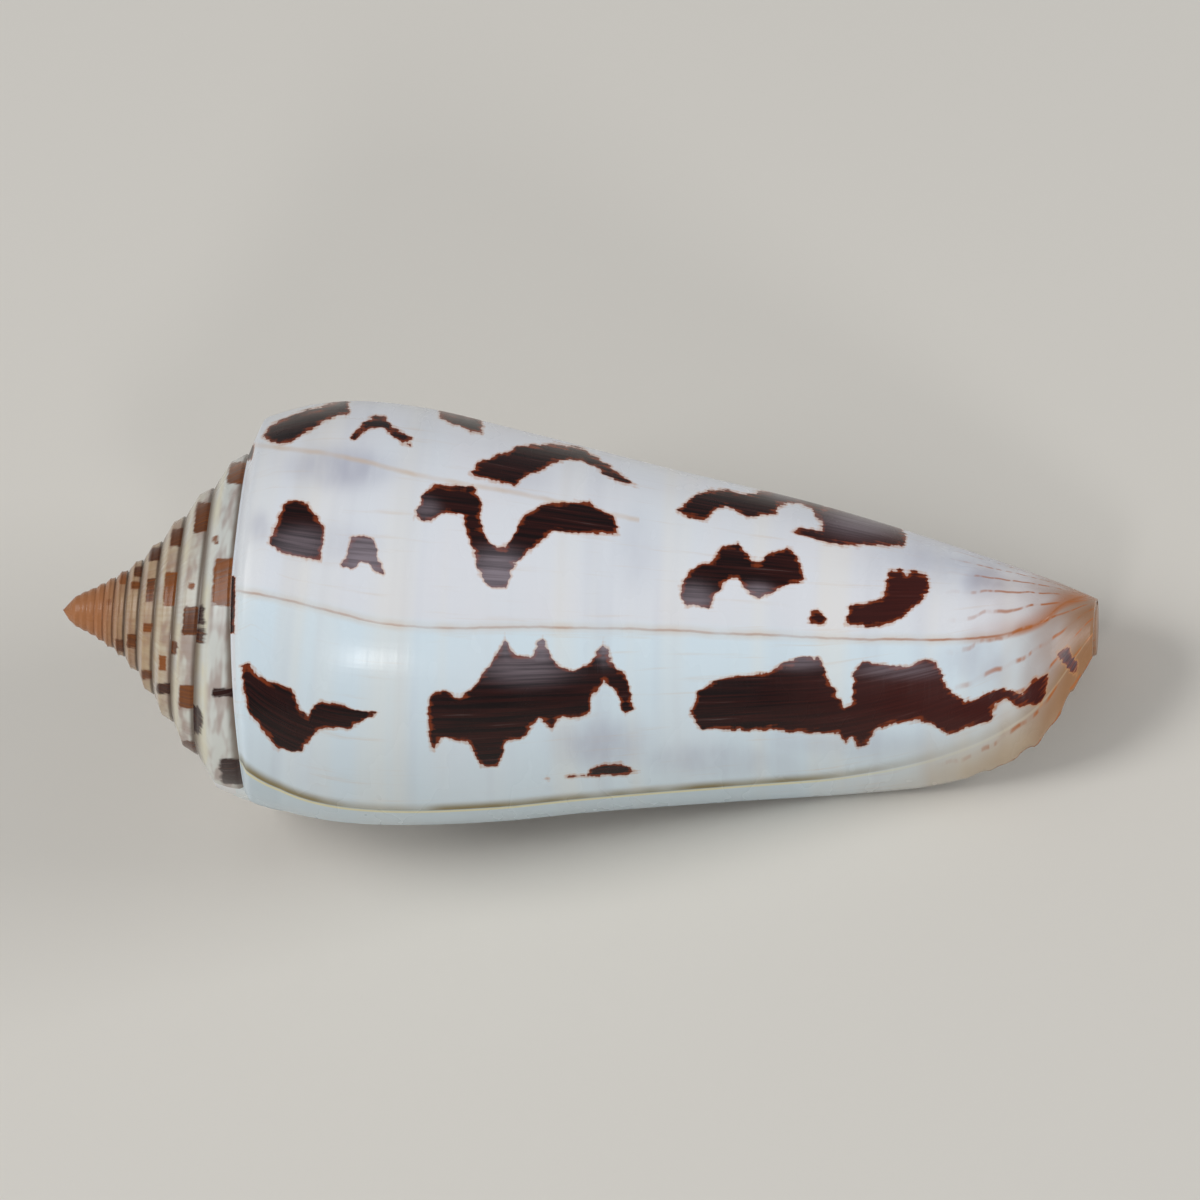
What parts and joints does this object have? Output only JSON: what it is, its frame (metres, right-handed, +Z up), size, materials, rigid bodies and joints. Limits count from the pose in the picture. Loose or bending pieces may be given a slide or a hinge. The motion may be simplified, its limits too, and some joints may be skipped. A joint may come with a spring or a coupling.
{
  "type": "cone shell",
  "caption": "Tall-spired cone shell with a stepped spire, a tapering white body with dark brown blotches and a long slit aperture.",
  "frame": {"origin": "centre of the shell's footprint, on the surface it rests on", "axes": "+X towards the front (siphonal) end, -Y towards the outer lip, +Z up as the shell lies at rest on its lip and belly"},
  "size_m": [0.0744, 0.0306, 0.0296],
  "materials": {
    "shell": "glossy"
  },
  "bodies": {
    "root": {"shell": "shell"}
  },
  "joints": []
}
